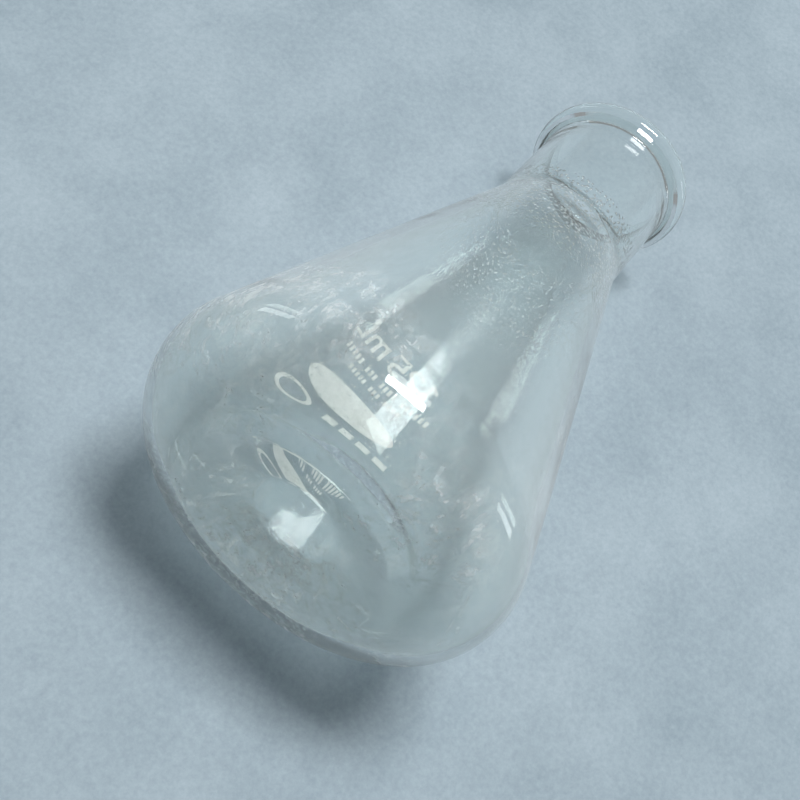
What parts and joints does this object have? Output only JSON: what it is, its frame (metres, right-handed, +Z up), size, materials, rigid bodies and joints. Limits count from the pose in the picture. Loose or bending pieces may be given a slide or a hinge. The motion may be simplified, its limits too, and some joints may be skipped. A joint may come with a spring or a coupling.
{
  "type": "erlenmeyer flask",
  "caption": "Narrow-mouth conical glass flask with a beaded rim, a punted base and white enamel print on the cone.",
  "frame": {"origin": "centre of the base, on the plane of its resting ring", "axes": "+Z up the flask's axis to the mouth; the print faces halfway between +X and -Y"},
  "size_m": [0.0679, 0.068, 0.114],
  "materials": {
    "borosilicate_glass": "clear, fire polished, slightly hazed by use",
    "white_enamel": "fired enamel, satin"
  },
  "bodies": {
    "root": {"glass_body": "borosilicate_glass", "capacity_digits": "white_enamel", "capacity_unit": "white_enamel", "caption_row_upper": "white_enamel", "caption_row_lower": "white_enamel", "marking_spot": "white_enamel", "motif_ring": "white_enamel", "motif_blocks": "white_enamel"}
  },
  "joints": []
}
